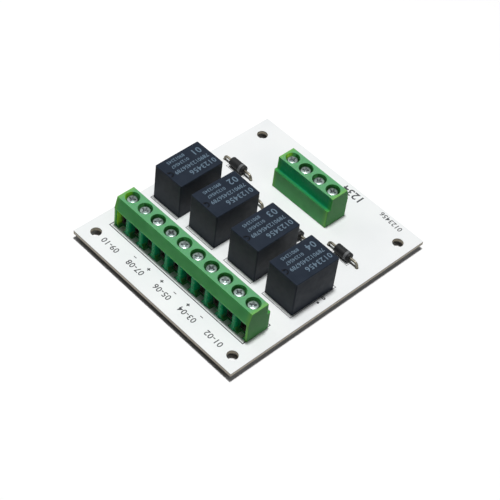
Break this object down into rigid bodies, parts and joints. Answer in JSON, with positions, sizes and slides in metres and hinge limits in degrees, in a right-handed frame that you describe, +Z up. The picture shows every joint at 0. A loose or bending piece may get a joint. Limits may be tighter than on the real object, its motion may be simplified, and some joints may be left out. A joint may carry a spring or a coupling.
{
  "type": "relay module board",
  "caption": "White circuit board carrying sealed relays between two rows of green screw terminals, with diodes and corner mounting holes.",
  "frame": {"origin": "centre of the four mounting holes, on the underside of the board", "axes": "+Z up out of the component side, +Y from the ten-way terminal row towards the four-way row, +X along the ten-way row"},
  "size_m": [0.0606, 0.0704, 0.0145],
  "materials": {
    "board_white": "glass-fibre laminate with white solder mask, satin",
    "terminal_green": "moulded nylon, satin",
    "contact_tin": "tinned",
    "screw_nickel": "nickel plated",
    "clamp_nickel": "nickel plated, dull",
    "relay_black": "moulded, satin",
    "relay_base": "moulded, potted",
    "pin_tin": "tinned",
    "diode_black": "moulded epoxy",
    "lead_tin": "tinned",
    "solder": "solder, bright"
  },
  "bodies": {
    "board_body": {"board": "board_white", "terminal_block_ten": "terminal_green", "terminal_block_four": "terminal_green", "ten_contacts": "contact_tin", "four_contacts": "contact_tin", "relay_cover_1": "relay_black", "relay_cover_2": "relay_black", "relay_cover_3": "relay_black", "relay_cover_4": "relay_black", "relay_base_1": "relay_base", "relay_base_2": "relay_base", "relay_base_3": "relay_base", "relay_base_4": "relay_base", "relay_pins": "pin_tin", "diode_1": "diode_black", "diode_2": "diode_black", "diode_3": "diode_black", "diode_4": "diode_black", "diode_leads": "lead_tin", "solder_joints": "solder"},
    "ten_screw_01_body": {"ten_screw_01": "screw_nickel"},
    "ten_clamp_01_body": {"ten_clamp_01": "clamp_nickel"},
    "ten_screw_02_body": {"ten_screw_02": "screw_nickel"},
    "ten_clamp_02_body": {"ten_clamp_02": "clamp_nickel"},
    "ten_screw_03_body": {"ten_screw_03": "screw_nickel"},
    "ten_clamp_03_body": {"ten_clamp_03": "clamp_nickel"},
    "ten_screw_04_body": {"ten_screw_04": "screw_nickel"},
    "ten_clamp_04_body": {"ten_clamp_04": "clamp_nickel"},
    "ten_screw_05_body": {"ten_screw_05": "screw_nickel"},
    "ten_clamp_05_body": {"ten_clamp_05": "clamp_nickel"},
    "ten_screw_06_body": {"ten_screw_06": "screw_nickel"},
    "ten_clamp_06_body": {"ten_clamp_06": "clamp_nickel"},
    "ten_screw_07_body": {"ten_screw_07": "screw_nickel"},
    "ten_clamp_07_body": {"ten_clamp_07": "clamp_nickel"},
    "ten_screw_08_body": {"ten_screw_08": "screw_nickel"},
    "ten_clamp_08_body": {"ten_clamp_08": "clamp_nickel"},
    "ten_screw_09_body": {"ten_screw_09": "screw_nickel"},
    "ten_clamp_09_body": {"ten_clamp_09": "clamp_nickel"},
    "ten_screw_10_body": {"ten_screw_10": "screw_nickel"},
    "ten_clamp_10_body": {"ten_clamp_10": "clamp_nickel"},
    "four_screw_01_body": {"four_screw_01": "screw_nickel"},
    "four_clamp_01_body": {"four_clamp_01": "clamp_nickel"},
    "four_screw_02_body": {"four_screw_02": "screw_nickel"},
    "four_clamp_02_body": {"four_clamp_02": "clamp_nickel"},
    "four_screw_03_body": {"four_screw_03": "screw_nickel"},
    "four_clamp_03_body": {"four_clamp_03": "clamp_nickel"},
    "four_screw_04_body": {"four_screw_04": "screw_nickel"},
    "four_clamp_04_body": {"four_clamp_04": "clamp_nickel"}
  },
  "joints": [
    {"name": "ten_screw_01_turn", "type": "hinge", "parent": "board_body", "child": "ten_screw_01_body", "pos_m": [-0.02286, -0.0211, 0.0099], "axis": [0, 0, -1], "range_deg": [0, 1660]},
    {"name": "ten_clamp_01_lift", "type": "slide", "parent": "board_body", "child": "ten_clamp_01_body", "axis": [0, 0, 1], "range_m": [0, 0.0023]},
    {"name": "ten_screw_02_turn", "type": "hinge", "parent": "board_body", "child": "ten_screw_02_body", "pos_m": [-0.01778, -0.0211, 0.0099], "axis": [0, 0, -1], "range_deg": [0, 1660]},
    {"name": "ten_clamp_02_lift", "type": "slide", "parent": "board_body", "child": "ten_clamp_02_body", "axis": [0, 0, 1], "range_m": [0, 0.0023]},
    {"name": "ten_screw_03_turn", "type": "hinge", "parent": "board_body", "child": "ten_screw_03_body", "pos_m": [-0.0127, -0.0211, 0.0099], "axis": [0, 0, -1], "range_deg": [0, 1660]},
    {"name": "ten_clamp_03_lift", "type": "slide", "parent": "board_body", "child": "ten_clamp_03_body", "axis": [0, 0, 1], "range_m": [0, 0.0023]},
    {"name": "ten_screw_04_turn", "type": "hinge", "parent": "board_body", "child": "ten_screw_04_body", "pos_m": [-0.00762, -0.0211, 0.0099], "axis": [0, 0, -1], "range_deg": [0, 1660]},
    {"name": "ten_clamp_04_lift", "type": "slide", "parent": "board_body", "child": "ten_clamp_04_body", "axis": [0, 0, 1], "range_m": [0, 0.0023]},
    {"name": "ten_screw_05_turn", "type": "hinge", "parent": "board_body", "child": "ten_screw_05_body", "pos_m": [-0.00254, -0.0211, 0.0099], "axis": [0, 0, -1], "range_deg": [0, 1660]},
    {"name": "ten_clamp_05_lift", "type": "slide", "parent": "board_body", "child": "ten_clamp_05_body", "axis": [0, 0, 1], "range_m": [0, 0.0023]},
    {"name": "ten_screw_06_turn", "type": "hinge", "parent": "board_body", "child": "ten_screw_06_body", "pos_m": [0.00254, -0.0211, 0.0099], "axis": [0, 0, -1], "range_deg": [0, 1660]},
    {"name": "ten_clamp_06_lift", "type": "slide", "parent": "board_body", "child": "ten_clamp_06_body", "axis": [0, 0, 1], "range_m": [0, 0.0023]},
    {"name": "ten_screw_07_turn", "type": "hinge", "parent": "board_body", "child": "ten_screw_07_body", "pos_m": [0.00762, -0.0211, 0.0099], "axis": [0, 0, -1], "range_deg": [0, 1660]},
    {"name": "ten_clamp_07_lift", "type": "slide", "parent": "board_body", "child": "ten_clamp_07_body", "axis": [0, 0, 1], "range_m": [0, 0.0023]},
    {"name": "ten_screw_08_turn", "type": "hinge", "parent": "board_body", "child": "ten_screw_08_body", "pos_m": [0.0127, -0.0211, 0.0099], "axis": [0, 0, -1], "range_deg": [0, 1660]},
    {"name": "ten_clamp_08_lift", "type": "slide", "parent": "board_body", "child": "ten_clamp_08_body", "axis": [0, 0, 1], "range_m": [0, 0.0023]},
    {"name": "ten_screw_09_turn", "type": "hinge", "parent": "board_body", "child": "ten_screw_09_body", "pos_m": [0.01778, -0.0211, 0.0099], "axis": [0, 0, -1], "range_deg": [0, 1660]},
    {"name": "ten_clamp_09_lift", "type": "slide", "parent": "board_body", "child": "ten_clamp_09_body", "axis": [0, 0, 1], "range_m": [0, 0.0023]},
    {"name": "ten_screw_10_turn", "type": "hinge", "parent": "board_body", "child": "ten_screw_10_body", "pos_m": [0.02286, -0.0211, 0.0099], "axis": [0, 0, -1], "range_deg": [0, 1660]},
    {"name": "ten_clamp_10_lift", "type": "slide", "parent": "board_body", "child": "ten_clamp_10_body", "axis": [0, 0, 1], "range_m": [0, 0.0023]},
    {"name": "four_screw_01_turn", "type": "hinge", "parent": "board_body", "child": "four_screw_01_body", "pos_m": [0.00762, 0.02235, 0.0099], "axis": [0, 0, -1], "range_deg": [0, 1660]},
    {"name": "four_clamp_01_lift", "type": "slide", "parent": "board_body", "child": "four_clamp_01_body", "axis": [0, 0, 1], "range_m": [0, 0.0023]},
    {"name": "four_screw_02_turn", "type": "hinge", "parent": "board_body", "child": "four_screw_02_body", "pos_m": [0.00254, 0.02235, 0.0099], "axis": [0, 0, -1], "range_deg": [0, 1660]},
    {"name": "four_clamp_02_lift", "type": "slide", "parent": "board_body", "child": "four_clamp_02_body", "axis": [0, 0, 1], "range_m": [0, 0.0023]},
    {"name": "four_screw_03_turn", "type": "hinge", "parent": "board_body", "child": "four_screw_03_body", "pos_m": [-0.00254, 0.02235, 0.0099], "axis": [0, 0, -1], "range_deg": [0, 1660]},
    {"name": "four_clamp_03_lift", "type": "slide", "parent": "board_body", "child": "four_clamp_03_body", "axis": [0, 0, 1], "range_m": [0, 0.0023]},
    {"name": "four_screw_04_turn", "type": "hinge", "parent": "board_body", "child": "four_screw_04_body", "pos_m": [-0.00762, 0.02235, 0.0099], "axis": [0, 0, -1], "range_deg": [0, 1660]},
    {"name": "four_clamp_04_lift", "type": "slide", "parent": "board_body", "child": "four_clamp_04_body", "axis": [0, 0, 1], "range_m": [0, 0.0023]}
  ],
  "couplings": [
    {"joint": "ten_screw_01_turn", "follows": "ten_clamp_01_lift", "rad_per_m": 12566},
    {"joint": "ten_screw_02_turn", "follows": "ten_clamp_02_lift", "rad_per_m": 12566},
    {"joint": "ten_screw_03_turn", "follows": "ten_clamp_03_lift", "rad_per_m": 12566},
    {"joint": "ten_screw_04_turn", "follows": "ten_clamp_04_lift", "rad_per_m": 12566},
    {"joint": "ten_screw_05_turn", "follows": "ten_clamp_05_lift", "rad_per_m": 12566},
    {"joint": "ten_screw_06_turn", "follows": "ten_clamp_06_lift", "rad_per_m": 12566},
    {"joint": "ten_screw_07_turn", "follows": "ten_clamp_07_lift", "rad_per_m": 12566},
    {"joint": "ten_screw_08_turn", "follows": "ten_clamp_08_lift", "rad_per_m": 12566},
    {"joint": "ten_screw_09_turn", "follows": "ten_clamp_09_lift", "rad_per_m": 12566},
    {"joint": "ten_screw_10_turn", "follows": "ten_clamp_10_lift", "rad_per_m": 12566},
    {"joint": "four_screw_01_turn", "follows": "four_clamp_01_lift", "rad_per_m": 12566},
    {"joint": "four_screw_02_turn", "follows": "four_clamp_02_lift", "rad_per_m": 12566},
    {"joint": "four_screw_03_turn", "follows": "four_clamp_03_lift", "rad_per_m": 12566},
    {"joint": "four_screw_04_turn", "follows": "four_clamp_04_lift", "rad_per_m": 12566}
  ]
}
